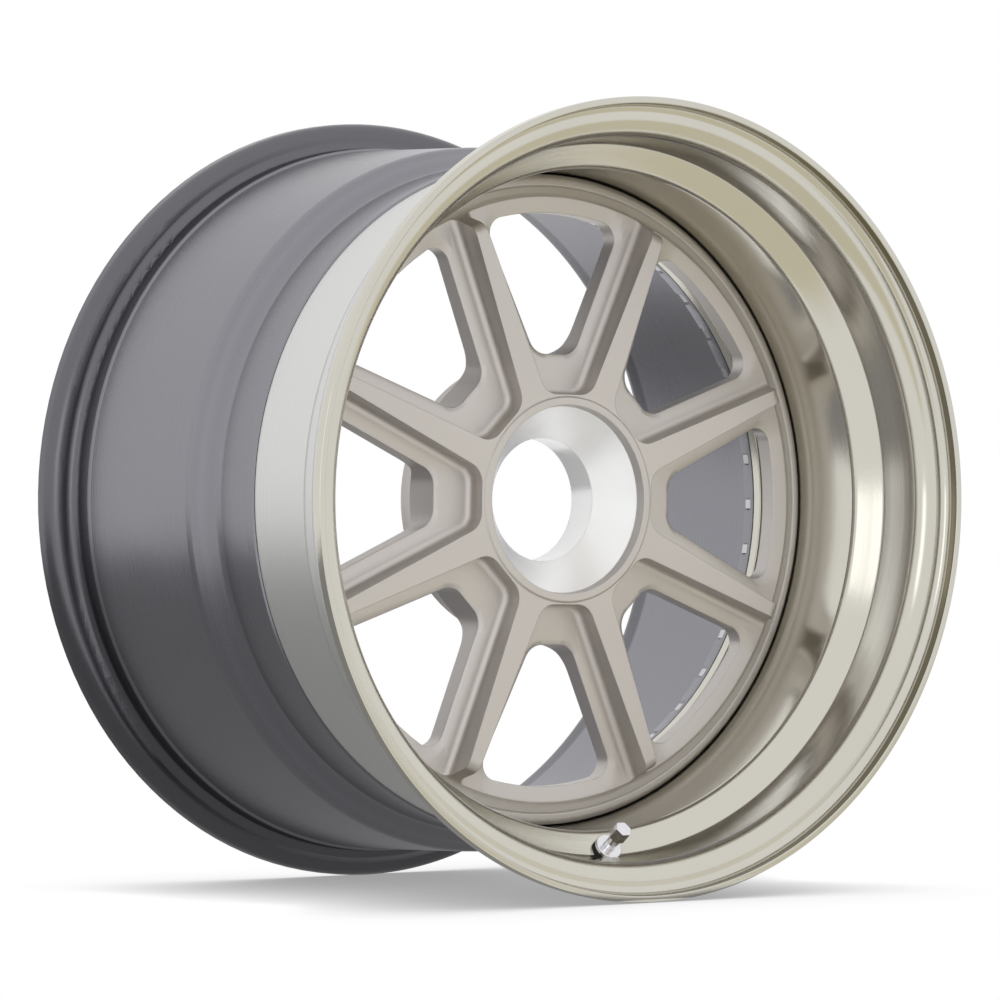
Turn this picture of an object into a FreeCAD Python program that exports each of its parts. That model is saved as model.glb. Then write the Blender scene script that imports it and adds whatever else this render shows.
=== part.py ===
import FreeCAD
import Part
import math
import os
import re
import Sketcher
from FreeCAD import Placement, Rotation, Vector

# Three-piece alloy wheel: a spun outer half with a deep dish, a spun inner half, and a forged
# eight-spoke centre for a single central nut, clamped together by a ring of bolts from behind.
#
# Frame: the axle is the Y axis, the street side faces -Y and +Z is up. The origin lies on the axle,
# half way between the two rim edges. "Offset" below means a distance ahead of that mid-plane,
# towards the street side, so a point at offset s has y = -s.

# Driving sizes: alias, value in millimetres or degrees, and what it measures.
SIZES = [
    # Rim section shared by both halves
    ("rim_diameter", 462.0, "bead seat diameter at the tyre flange"),
    ("rim_width", 292.1, "between the tyre faces of the two flanges"),
    ("flange_height", 17.5, "flange above the bead seat"),
    ("flange_width", 14.85, "tyre face of a flange to its outer edge"),
    ("flange_curl", 9.5, "radius that rolls the flange outwards"),
    ("bead_corner", 6.5, "radius between bead seat and flange"),
    ("bead_taper", 5.0, "slope of the bead seat, degrees"),
    ("rim_wall", 6.0, "wall of the spun halves"),
    ("lip_wall", 4.6, "wall of the rolled flange"),
    ("lip_corner", 12.0, "inside radius behind the bead seat"),
    # Outer half
    ("front_seat", 35.3, "front flange face to the top of the ramp"),
    ("ramp_angle", 53.0, "slope of the ramp between bead seat and dish, degrees"),
    ("ramp_round", 6.0, "rounding of the ramp's two ends"),
    ("inside_round", 8.0, "rounding of the ramp's top inside the dish"),
    ("dish_drop", 24.0, "inside of the dish below the bead seat"),
    ("dish_corner", 1.5, "rounding between dish and bolting flange"),
    ("bolting_width", 20.6, "bolting flanges inside the dish, radially"),
    ("seat_offset", 31.0, "offset of the face that carries the centre"),
    ("outer_flange", 6.7, "bolting flange of the outer half"),
    ("seam_offset", 36.6, "offset of the seam seen in the drop centre"),
    ("spigot_step", 3.0, "spigot of the outer half below its barrel"),
    # Inner half
    ("inner_flange", 11.7, "bolting flange of the inner half"),
    ("flange_relief", 1.2, "taper of that flange's bore, radially"),
    ("flange_corner", 4.0, "rounding between inner barrel and bolting flange"),
    ("rear_seat", 15.0, "rear flange face to the foot of the safety hump"),
    ("hump_width", 3.6, "safety hump along the axle"),
    ("hump_height", 1.4, "safety hump above the bead seat"),
    ("shoulder_setback", 19.3, "mid-plane back to the drop's shoulder"),
    ("shoulder_drop", 4.8, "drop's shoulder below the bead seat"),
    ("drop_setback", 3.0, "mid-plane back to the foot of the drop"),
    ("step_round", 8.0, "rounding of the drop's two ends"),
    ("collar_width", 8.5, "raised collar at the seam"),
    ("collar_rise", 1.0, "raised collar above the drop centre"),
    # Seal between the halves
    ("spigot_clearance", 0.2, "radial gap between spigot and collar"),
    ("seam_gap", 0.3, "end of the collar to the shoulder of the outer half"),
    ("seal_section", 2.4, "section of the sealing ring"),
    ("seal_clearance", 0.1, "gap around the sealing ring"),
    # Assembly bolts
    ("bolt_count", 40, "bolts in the ring"),
    ("bolt_inset", 14.0, "bolt circle inside the dish"),
    ("bolt_diameter", 7.0, "shank"),
    ("bolt_clearance", 0.3, "radial gap in the flanges"),
    ("thread_clearance", 0.05, "radial gap in the tapped holes"),
    ("bolt_web", 4.0, "inner flange left under the bolt heads"),
    ("bolt_grip", 13.0, "length screwed into the centre"),
    ("tap_depth", 15.0, "tapped hole below its seat"),
    ("head_height", 7.0, "hexagon head"),
    ("head_flats", 10.0, "hexagon head across flats"),
    ("head_clearance", 2.5, "spot face around the heads, radially"),
    # Centre: ring, hub and spokes
    ("clock_angle", 0.9, "centre and bolts turned from the valve, degrees"),
    ("spoke_count", 8, "spokes and windows"),
    ("centre_clearance", 1.0, "radial gap between centre and dish"),
    ("ring_height", 15.0, "outer edge of the ring above its seat"),
    ("ring_rise", 3.6, "bead of the ring above its outer edge"),
    ("ring_bead", 6.8, "bead of the ring, radially"),
    ("ring_round", 6.0, "rounding of the ring's bead"),
    ("ring_chamfer", 2.5, "rear outer edge of the ring"),
    ("groove_width", 1.2, "turned line inside the ring's bead"),
    ("groove_depth", 1.0, "depth of that line"),
    ("ledge_fall", 1.9, "slope of the ledge towards the groove"),
    ("ledge_inset", 16.5, "inner edge of the ledge inside the dish"),
    ("floor_offset", 52.0, "offset of the pocket floors at the ledge"),
    ("floor_rise", 5.8, "rise of the floors from there to the hub"),
    ("face_offset", 71.0, "offset of the flat spoke faces"),
    ("face_inset", 24.0, "corner where the spoke faces fall away, inside the dish"),
    ("fall_round", 8.0, "rounding of that fall, above and below"),
    ("hub_ring_rise", 1.2, "hub ring above the spoke faces"),
    ("hub_ring_width", 5.6, "hub ring, radially"),
    ("cone_diameter", 117.6, "large end of the nut's cone"),
    ("cone_relief", 0.9, "wall between the cone and the hub ring, radially"),
    ("cone_setback", 6.8, "large end of the cone below the hub ring"),
    ("cone_length", 21.2, "nut's cone along the axle"),
    ("hub_bore", 78.4, "hub bore"),
    ("hub_bore_length", 22.0, "hub bore along the axle"),
    ("spigot_recess", 104.0, "recess for the hub's spigot"),
    ("pad_diameter", 168.0, "rear hub pad"),
    ("pad_offset", 9.0, "offset of the rear hub pad"),
    ("pad_chamfer", 3.0, "edge of the rear hub pad"),
    ("hub_back", 25.3, "offset of the hub's side where the spokes leave it"),
    ("hub_flare", 2.5, "hub's side there beyond the pad's chamfer"),
    ("spoke_back_root", 41.5, "offset of the spokes' backs at their roots"),
    ("spoke_root", 14.0, "roots of the spokes beyond the pad's chamfer"),
    ("root_round", 20.0, "hollow rounding of the roots"),
    ("spoke_back_ring", 39.5, "offset of the spokes' backs at the ring"),
    ("land_inset", 19.0, "inner edge of the ring's seat, inside the dish"),
    ("pin_count", 5, "drive pin holes"),
    ("pin_circle", 130.0, "drive pin circle"),
    ("pin_hole", 15.5, "drive pin hole"),
    ("pin_depth", 22.0, "drive pin hole below the pad"),
    # Centre: windows and the pockets around them
    ("window_setback", 26.4, "inner end of a pocket to the inner end of its window"),
    ("flank_width", 13.1, "side of a pocket to the side of its window"),
    ("window_inset", 25.3, "outer end of the windows inside the dish"),
    ("window_corner_in", 13.0, "inner corners of a window"),
    ("window_corner_out", 11.0, "outer corners of a window"),
    ("band_width", 3.8, "sloping band round a window"),
    ("band_depth", 2.0, "fall of that band to the window's edge"),
    ("pocket_setback", 0.3, "hub ring to the inner end of a pocket"),
    ("spoke_width", 17.8, "spoke between the inner ends of two pockets"),
    ("pocket_angle", 24.9, "side of a pocket from its centre line, degrees"),
    ("pocket_corner", 13.0, "inner corners of a pocket"),
    ("pocket_round", 5.0, "rounding along the foot of a pocket's walls"),
    # Valve
    ("valve_rise", 11.5, "valve above the dish, on the ramp"),
    ("valve_hole", 11.5, "hole in the ramp"),
    ("spot_depth", 0.8, "spot face below the ramp"),
    ("spot_clearance", 0.5, "radial gap around the grommet on the spot face"),
    ("stem_diameter", 7.7, "stem"),
    ("stem_length", 22.0, "stem in front of the ramp"),
    ("stem_clearance", 0.1, "gap between the stem and what slides on it"),
    ("stem_head", 17.0, "head of the stem inside the tyre"),
    ("stem_head_height", 3.0, "thickness of that head"),
    ("grommet_clearance", 0.1, "gap between the grommet and its hole"),
    ("grommet_diameter", 17.2, "rubber grommets"),
    ("outer_grommet", 3.0, "rubber in front of the ramp"),
    ("inner_grommet", 2.0, "rubber behind the ramp"),
    ("grommet_sleeve", 4.0, "sleeve of the front grommet in the hole"),
    ("grommet_round", 0.8, "rounding of the grommets"),
    ("collar_diameter", 17.6, "clamping collar"),
    ("collar_height", 2.2, "clamping collar"),
    ("collar_round", 0.6, "rounding of the collar"),
    ("core_diameter", 4.2, "valve core"),
    ("core_length", 14.0, "valve core"),
    ("core_pin", 1.6, "pin of the core"),
    ("core_clearance", 0.1, "gap between core and stem"),
    ("cap_flats", 9.4, "cap across flats"),
    ("cap_length", 9.0, "cap"),
    ("cap_roof", 1.8, "closed end of the cap"),
]
ALIASES = re.compile(r"\b(" + "|".join(name for name, value, note in SIZES) + r")\b")

# Places worked out from the driving sizes, written in the sheet's own words.
BEAD_R = "rim_diameter / 2"
FLANGE_R = "(rim_diameter / 2 + flange_height)"
FACE_S = "rim_width / 2"
EDGE_S = "(rim_width / 2 + flange_width)"
DISH_R = "(rim_diameter / 2 - dish_drop)"
BARREL_R = f"({DISH_R} + rim_wall)"
SHOULDER_R = "(rim_diameter / 2 - shoulder_drop)"
SPIGOT_R = f"({BARREL_R} - spigot_step)"
COLLAR_BORE = f"({SPIGOT_R} + spigot_clearance)"
BOLTING_R = f"({DISH_R} - bolting_width)"
BOLT_R = f"({DISH_R} - bolt_inset)"
JOINT_S = "(seat_offset - outer_flange)"
REAR_S = "(seat_offset - outer_flange - inner_flange)"
HEAD_S = "(seat_offset - outer_flange - bolt_web)"
SEAL_CORNER = "((seal_section / 2 + seal_clearance) * (2 + sqrt(2)))"
RAMP_TOP_S = "(rim_width / 2 - front_seat)"
RAMP_TOP_R = "(rim_diameter / 2 - front_seat * tan(bead_taper))"
RAMP_FOOT_S = f"({RAMP_TOP_S} - ({RAMP_TOP_R} - {BARREL_R}) / tan(ramp_angle))"
DISH_FOOT_S = f"({RAMP_FOOT_S} + rim_wall * tan(ramp_angle / 2))"
INSIDE_R = "(rim_diameter / 2 - rim_wall / cos(bead_taper))"
INSIDE_TOP_S = (f"(({INSIDE_R} - {FACE_S} * tan(bead_taper) - {DISH_R} + {DISH_FOOT_S} * tan(ramp_angle))"
                " / (tan(ramp_angle) - tan(bead_taper)))")
INSIDE_TOP_R = f"({DISH_R} + ({INSIDE_TOP_S} - {DISH_FOOT_S}) * tan(ramp_angle))"
RING_R = f"({DISH_R} - centre_clearance)"
LEDGE_R = f"({DISH_R} - ledge_inset)"
WINDOW_R = f"({DISH_R} - window_inset)"
HUB_RING_BORE = "(cone_diameter / 2 + cone_relief)"
HUB_RING_R = f"({HUB_RING_BORE} + hub_ring_width)"
POCKET_INNER = f"({HUB_RING_R} + pocket_setback)"
POCKET_HALF = (f"(({POCKET_INNER} * sin(180 / spoke_count) - spoke_width / 2)"
               " / cos(180 / spoke_count))")
WINDOW_INNER = f"({POCKET_INNER} + window_setback)"
WINDOW_HALF = (f"({POCKET_HALF} + window_setback * tan(pocket_angle)"
               " - flank_width / cos(pocket_angle))")
FLOOR_TILT = f"atan(floor_rise / ({LEDGE_R} - {POCKET_INNER}))"
VALVE_R = f"({DISH_R} + valve_rise)"
PAD_R = "(pad_diameter / 2 + pad_chamfer)"
RING_EDGE_S = "(seat_offset + ring_height)"
RING_TOP_S = "(seat_offset + ring_height + ring_rise)"
HUB_TOP_S = "(face_offset + hub_ring_rise)"
CONE_S = "(face_offset + hub_ring_rise - cone_setback)"
BORE_S = "(face_offset + hub_ring_rise - cone_setback - cone_length)"
VALVE_S = f"({DISH_FOOT_S} + valve_rise / tan(ramp_angle))"
STEM_R = "stem_diameter / 2"
SLIDE_R = "(stem_diameter / 2 + stem_clearance)"

doc = FreeCAD.newDocument("alloy_wheel")
sheet = doc.addObject("Spreadsheet::Sheet", "sizes")
for row, (name, value, note) in enumerate(SIZES, start=1):
    sheet.set(f"A{row}", note)
    sheet.set(f"B{row}", str(value))
    sheet.setAlias(f"B{row}", name)
doc.recompute()


def bound(text):
    """An expression in the sheet's words, as a property can read it."""
    return ALIASES.sub(r"sizes.\1", text)


def number(text):
    """Today's value of such an expression."""
    value = sheet.evalExpression(bound(text))
    return float(getattr(value, "Value", value))


def new_body(label):
    """An empty body with its own label."""
    body = doc.addObject("PartDesign::Body", label)
    body.Label = label
    return body


def new_sketch(body, name, plane, offset="0", tilt="0"):
    """A sketch on one of the body's origin planes, moved along its normal and tilted about its x axis."""
    sketch = body.newObject("Sketcher::SketchObject", name)
    support = [face for face in body.Origin.OriginFeatures if face.Role == plane][0]
    sketch.AttachmentSupport = [(support, "")]
    sketch.MapMode = "FlatFace"
    sketch.AttachmentOffset = Placement(Vector(0, 0, 0), Rotation(Vector(1, 0, 0), 1))
    sketch.setExpression("AttachmentOffset.Base.z", bound(offset))
    sketch.setExpression("AttachmentOffset.Rotation.Angle", bound(f"({tilt}) * 1"))
    return sketch


def tie(sketch, kind, places, text, unit=""):
    """Adds one dimension to a sketch and binds it to an expression."""
    value = number(text)
    start = math.radians(value) if unit else value
    index = sketch.addConstraint(Sketcher.Constraint(kind, *places, start))
    sketch.setExpression(f"Constraints[{index}]", bound(f"({text}){unit}"))


def outline(sketch, corners):
    """A closed outline of straight edges. A corner is (x, y) or (x, y, rounding), all expressions."""
    spots = [Vector(number(corner[0]), number(corner[1]), 0) for corner in corners]
    count = len(corners)
    entry, leave, arcs = list(spots), list(spots), {}
    for i, corner in enumerate(corners):
        if len(corner) < 3:
            continue
        radius = number(corner[2])
        back = (spots[i - 1] - spots[i]).normalize()
        ahead = (spots[(i + 1) % count] - spots[i]).normalize()
        half = back.getAngle(ahead) / 2
        entry[i] = spots[i] + back * (radius / math.tan(half))
        leave[i] = spots[i] + ahead * (radius / math.tan(half))
        centre = spots[i] + (back + ahead).normalize() * (radius / math.sin(half))
        turn_left = back.cross(ahead).z < 0
        first, last = (entry[i], leave[i]) if turn_left else (leave[i], entry[i])
        angles = [math.atan2(end.y - centre.y, end.x - centre.x) for end in (first, last)]
        circle = Part.Circle(centre, Vector(0, 0, 1), radius)
        arcs[i] = (Part.ArcOfCircle(circle, *angles), turn_left)
    lines = [sketch.addGeometry(Part.LineSegment(leave[i], entry[(i + 1) % count])) for i in range(count)]
    for i, corner in enumerate(corners):
        before, after = lines[i - 1], lines[i]
        if i in arcs:
            shape, turn_left = arcs[i]
            arc = sketch.addGeometry(shape)
            starts, ends = (1, 2) if turn_left else (2, 1)
            sketch.addConstraint(Sketcher.Constraint("Tangent", before, 2, arc, starts))
            sketch.addConstraint(Sketcher.Constraint("Tangent", arc, ends, after, 1))
            tie(sketch, "Radius", (arc,), corner[2])
            point = (sketch.addGeometry(Part.Point(spots[i]), True), 1)
            sketch.addConstraint(Sketcher.Constraint("PointOnObject", *point, before))
            sketch.addConstraint(Sketcher.Constraint("PointOnObject", *point, after))
        else:
            sketch.addConstraint(Sketcher.Constraint("Coincident", before, 2, after, 1))
            point = (after, 1)
        tie(sketch, "DistanceX", (-1, 1, *point), corner[0])
        tie(sketch, "DistanceY", (-1, 1, *point), corner[1])


def circle_outline(sketch, x, y, radius):
    """One circle, its centre and radius given as expressions."""
    centre = Vector(number(x), number(y), 0)
    ring = sketch.addGeometry(Part.Circle(centre, Vector(0, 0, 1), number(radius)))
    tie(sketch, "Radius", (ring,), radius)
    tie(sketch, "DistanceX", (-1, 1, ring, 3), x)
    tie(sketch, "DistanceY", (-1, 1, ring, 3), y)


def hexagon_outline(sketch, height, flats):
    """A regular hexagon about the sketch's vertical axis, flats across by the given expression."""
    corner_r = f"({flats}) / sqrt(3)"
    turns = range(0, 360, 60)
    outline(sketch, [(f"{corner_r} * cos({turn})", f"{height} + {corner_r} * sin({turn})") for turn in turns])


def window_outline(sketch, inner, half, angle, outer, corner_in, corner_out):
    """A rounded opening about the sketch's vertical axis, its outer end an arc about the axle.

    inner and half place the straight inner end, angle leans the sides, outer is the arc's radius.
    """
    low, wide, lean, reach = number(inner), number(half), math.radians(number(angle)), number(outer)
    small, large = number(corner_in), number(corner_out)
    along = Vector(math.sin(lean), math.cos(lean), 0)
    inward = Vector(-math.cos(lean), math.sin(lean), 0)
    foot = Vector(wide, low, 0)
    in_centre = Vector(wide - small / math.tan(math.pi / 4 + lean / 2), low + small, 0)
    near = foot + inward * large
    step = -near.dot(along) + math.sqrt(near.dot(along) ** 2 - near.dot(near) + (reach - large) ** 2)
    out_centre = near + along * step
    in_touch = in_centre - inward * small
    out_touch = out_centre - inward * large
    arc_touch = out_centre.normalize() * reach
    out_centre = near + along * step

    def mirrored(spot):
        return Vector(-spot.x, spot.y, 0)

    def arc(centre, first, last):
        angles = [math.atan2(end.y - centre.y, end.x - centre.x) for end in (first, last)]
        circle = Part.Circle(centre, Vector(0, 0, 1), (first - centre).Length)
        return sketch.addGeometry(Part.ArcOfCircle(circle, *angles))

    base = Vector(in_centre.x, low, 0)
    inner_line = sketch.addGeometry(Part.LineSegment(mirrored(base), base))
    in_right = arc(in_centre, base, in_touch)
    right = sketch.addGeometry(Part.LineSegment(in_touch, out_touch))
    out_right = arc(out_centre, out_touch, arc_touch)
    end = arc(Vector(0, 0, 0), arc_touch, mirrored(arc_touch))
    out_left = arc(mirrored(out_centre), mirrored(arc_touch), mirrored(out_touch))
    left = sketch.addGeometry(Part.LineSegment(mirrored(out_touch), mirrored(in_touch)))
    in_left = arc(mirrored(in_centre), mirrored(in_touch), mirrored(base))
    loop = [inner_line, in_right, right, out_right, end, out_left, left, in_left]
    for before, after in zip(loop, loop[1:] + loop[:1]):
        sketch.addConstraint(Sketcher.Constraint("Tangent", before, 2, after, 1))
    sketch.addConstraint(Sketcher.Constraint("Coincident", end, 3, -1, 1))
    sketch.addConstraint(Sketcher.Constraint("Symmetric", in_right, 3, in_left, 3, -2))
    sketch.addConstraint(Sketcher.Constraint("Horizontal", out_right, 3, out_left, 3))
    sketch.addConstraint(Sketcher.Constraint("Equal", in_right, in_left))
    sketch.addConstraint(Sketcher.Constraint("Equal", out_right, out_left))
    corner = sketch.addGeometry(Part.Point(foot), True)
    sketch.addConstraint(Sketcher.Constraint("PointOnObject", corner, 1, inner_line))
    sketch.addConstraint(Sketcher.Constraint("PointOnObject", corner, 1, right))
    tie(sketch, "DistanceX", (-1, 1, corner, 1), half)
    tie(sketch, "DistanceY", (-1, 1, corner, 1), inner)
    tie(sketch, "Angle", (right,), f"90 - ({angle})", " * 1 deg")
    tie(sketch, "Radius", (in_right,), corner_in)
    tie(sketch, "Radius", (out_right,), corner_out)
    tie(sketch, "Radius", (end,), outer)


def revolve(body, name, corners, axis="V_Axis", plane="XY_Plane"):
    """A turned solid from an outline of (radius, place along the axis) corners."""
    sketch = new_sketch(body, name + "_section", plane)
    outline(sketch, corners)
    solid = body.newObject("PartDesign::Revolution", name)
    solid.Profile = sketch
    solid.ReferenceAxis = (sketch, [axis])
    doc.recompute()
    return solid


def turned(body, name, corners):
    """A solid turned about the axle from (radius, offset[, rounding]) corners."""
    return revolve(body, name, [(corner[0], f"-({corner[1]})", *corner[2:]) for corner in corners])


def pad(body, name, sketch, length, backwards=False):
    """Raises a sketch along its normal, or against it."""
    feature = body.newObject("PartDesign::Pad", name)
    feature.Profile = sketch
    feature.Reversed = backwards
    feature.setExpression("Length", bound(length))
    doc.recompute()
    return feature


def pocket(body, name, sketch, depth, forwards=False):
    """Cuts a sketch against its normal, or along it, and makes sure that something was cut."""
    before = body.Shape.Volume
    feature = body.newObject("PartDesign::Pocket", name)
    feature.Profile = sketch
    feature.Reversed = forwards
    feature.setExpression("Length", bound(depth))
    doc.recompute()
    if feature.Shape.Volume > before - 1e-3:
        raise RuntimeError(name + " cuts nothing")
    return feature


def ring_of(body, name, feature, count):
    """Repeats a feature, or the whole body where none is given, evenly about the axle."""
    pattern = body.newObject("PartDesign::PolarPattern", name)
    pattern.TransformMode = "Features" if feature else "Whole shape"
    if feature:
        pattern.Originals = [feature]
    axle = [line for line in body.Origin.OriginFeatures if line.Role == "Y_Axis"][0]
    pattern.Axis = (axle, [""])
    pattern.Angle = 360
    pattern.setExpression("Occurrences", bound(count))
    body.Tip = pattern
    doc.recompute()
    return pattern


def clock(thing):
    """Turns a piece about the axle by the clock angle."""
    thing.setExpression("Placement", bound("placement(vector(0; 0; 0); rotation(vector(0; 1; 0); clock_angle))"))


def flange_corners(side):
    """Rolled flange of one rim half, from its edge round the tyre side to the bead seat, then back inside.

    side is 1 for the street side and -1 for the car side.
    """
    tyre_side = [
        (FLANGE_R, f"{side} * {EDGE_S}"),
        (FLANGE_R, f"{side} * {FACE_S}", "flange_curl"),
        (BEAD_R, f"{side} * {FACE_S}", "bead_corner"),
    ]
    open_side = [
        (f"{INSIDE_R} + lip_wall * tan(bead_taper)", f"{side} * ({FACE_S} + lip_wall)", "lip_corner"),
        (f"{FLANGE_R} - lip_wall", f"{side} * ({FACE_S} + lip_wall)", "flange_curl - lip_wall"),
        (f"{FLANGE_R} - lip_wall", f"{side} * ({EDGE_S} - lip_wall)"),
    ]
    return tyre_side, open_side


def bolt_holes(body, offset, depth, clearance):
    """Ring of holes on the bolt circle, cut backwards from a plane at the given offset."""
    sketch = new_sketch(body, "bolt_hole", "XZ_Plane", offset)
    circle_outline(sketch, "0", BOLT_R, f"bolt_diameter / 2 + {clearance}")
    hole = pocket(body, "bolt_hole_cut", sketch, depth)
    ring_of(body, "bolt_holes", hole, "bolt_count")


def outer_half():
    """Outer rim half: rolled lip, bead seat, ramp, deep dish and inward bolting flange."""
    body = new_body("outer_half_blank")
    tyre_side, open_side = flange_corners(1)
    turned(body, "outer_section", tyre_side + [
        (RAMP_TOP_R, RAMP_TOP_S, "ramp_round"),
        (BARREL_R, RAMP_FOOT_S, "ramp_round"),
        (BARREL_R, "seam_offset"),
        (SPIGOT_R, "seam_offset"),
        (SPIGOT_R, f"{JOINT_S} + {SEAL_CORNER}"),
        (f"{SPIGOT_R} - {SEAL_CORNER}", JOINT_S),
        (BOLTING_R, JOINT_S),
        (BOLTING_R, "seat_offset"),
        (DISH_R, "seat_offset", "dish_corner"),
        (DISH_R, DISH_FOOT_S, "ramp_round"),
        (INSIDE_TOP_R, INSIDE_TOP_S, "inside_round"),
    ] + open_side)
    bolt_holes(body, "seat_offset", "outer_flange", "bolt_clearance")
    clock(body)
    drill = doc.addObject("Part::Cylinder", "valve_drill")
    drill.setExpression("Radius", bound("valve_hole / 2"))
    drill.setExpression("Height", bound("4 * rim_wall"))
    place_on_ramp(drill, "-2 * rim_wall")
    facer = doc.addObject("Part::Cylinder", "valve_facer")
    facer.setExpression("Radius", bound("grommet_diameter / 2 + spot_clearance"))
    facer.setExpression("Height", bound("2 * rim_wall"))
    place_on_ramp(facer)
    cutters = doc.addObject("Part::Fuse", "valve_cutters")
    cutters.Base = drill
    cutters.Tool = facer
    cut = doc.addObject("Part::Cut", "outer_rim_half")
    cut.Base = body
    cut.Tool = cutters
    return cut


def inner_half():
    """Inner rim half: rolled flange, bead seat with a safety hump, barrel, drop centre, bolting flange."""
    body = new_body("inner_rim_half")
    tyre_side, open_side = flange_corners(-1)
    hump_s = f"({FACE_S} - rear_seat)"
    hump_r = f"({BEAD_R} - rear_seat * tan(bead_taper))"
    slope = f"atan(({SHOULDER_R} - {BARREL_R}) / (shoulder_setback - drop_setback))"
    turned(body, "inner_section", tyre_side + [
        (hump_r, f"-{hump_s}"),
        (f"{hump_r} + hump_height", f"-{hump_s} + hump_width / 2"),
        (hump_r, f"-{hump_s} + hump_width"),
        (SHOULDER_R, "-shoulder_setback", "step_round"),
        (BARREL_R, "-drop_setback", "step_round"),
        (BARREL_R, "seam_offset - seam_gap - collar_width - collar_rise"),
        (f"{BARREL_R} + collar_rise", "seam_offset - seam_gap - collar_width"),
        (f"{BARREL_R} + collar_rise", "seam_offset - seam_gap - collar_rise"),
        (BARREL_R, "seam_offset - seam_gap"),
        (COLLAR_BORE, "seam_offset - seam_gap"),
        (COLLAR_BORE, JOINT_S),
        (BOLTING_R, JOINT_S),
        (BOLTING_R, HEAD_S),
        (f"{BOLTING_R} + flange_relief", REAR_S),
        (DISH_R, REAR_S, "flange_corner"),
        (DISH_R, f"-drop_setback - rim_wall * tan({slope} / 2)", "step_round"),
        (f"{SHOULDER_R} - rim_wall", f"-shoulder_setback - rim_wall * tan({slope} / 2)", "step_round"),
        (f"{hump_r} - rim_wall", f"-{hump_s} + hump_width"),
    ] + open_side)
    bolt_holes(body, JOINT_S, "inner_flange", "bolt_clearance")
    sketch = new_sketch(body, "spot_face", "XZ_Plane", HEAD_S)
    circle_outline(sketch, "0", BOLT_R, "head_flats / 2 + head_clearance")
    spot = pocket(body, "spot_face_cut", sketch, "inner_flange")
    ring_of(body, "spot_faces", spot, "bolt_count")
    clock(body)
    return body


def centre_blank():
    """Turned forging of the centre, with its drive pin holes and tapped holes."""
    body = new_body("centre_blank")
    groove_r = f"({RING_R} - ring_bead)"
    turned(body, "centre_section", [
        ("hub_bore / 2", f"{BORE_S} - hub_bore_length"),
        ("hub_bore / 2", BORE_S),
        ("cone_diameter / 2", CONE_S),
        (HUB_RING_BORE, HUB_TOP_S),
        (f"{HUB_RING_R} - hub_ring_rise", HUB_TOP_S),
        (HUB_RING_R, "face_offset"),
        (f"{DISH_R} - face_inset", "face_offset", "fall_round"),
        (LEDGE_R, f"{RING_TOP_S} + ledge_fall", "fall_round"),
        (f"{groove_r} - groove_width", RING_TOP_S),
        (f"{groove_r} - groove_width / 2", f"{RING_TOP_S} - groove_depth"),
        (groove_r, RING_TOP_S),
        (f"{RING_R} - ring_bead / 2", f"{RING_TOP_S}", "ring_round"),
        (RING_R, RING_EDGE_S),
        (RING_R, "seat_offset + ring_chamfer"),
        (f"{RING_R} - ring_chamfer", "seat_offset"),
        (f"{DISH_R} - land_inset", "seat_offset"),
        (WINDOW_R, "spoke_back_ring"),
        (f"{PAD_R} + spoke_root", "spoke_back_root", "root_round"),
        (f"{PAD_R} + hub_flare", "hub_back"),
        (PAD_R, "pad_offset + pad_chamfer"),
        ("pad_diameter / 2", "pad_offset"),
        ("spigot_recess / 2", "pad_offset"),
        ("spigot_recess / 2", f"{BORE_S} - hub_bore_length"),
    ])
    bolt_holes(body, "seat_offset + tap_depth", "tap_depth", "thread_clearance")
    sketch = new_sketch(body, "pin_hole_outline", "XZ_Plane", "pad_offset + pin_depth")
    circle_outline(sketch, "0", "pin_circle / 2", "pin_hole / 2")
    hole = pocket(body, "pin_hole_cut", sketch, "pin_depth")
    ring_of(body, "pin_holes", hole, "pin_count")
    return body


def edges_on(feature, sketch):
    """Names of a feature's edges that lie in a sketch's plane."""
    to_plane = sketch.Placement.inverse()
    names = []
    for index, edge in enumerate(feature.Shape.Edges, start=1):
        heights = [to_plane.multVec(spot).z for spot in edge.discretize(3)]
        if max(abs(height) for height in heights) < 1e-4:
            names.append(f"Edge{index}")
    return names


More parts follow.
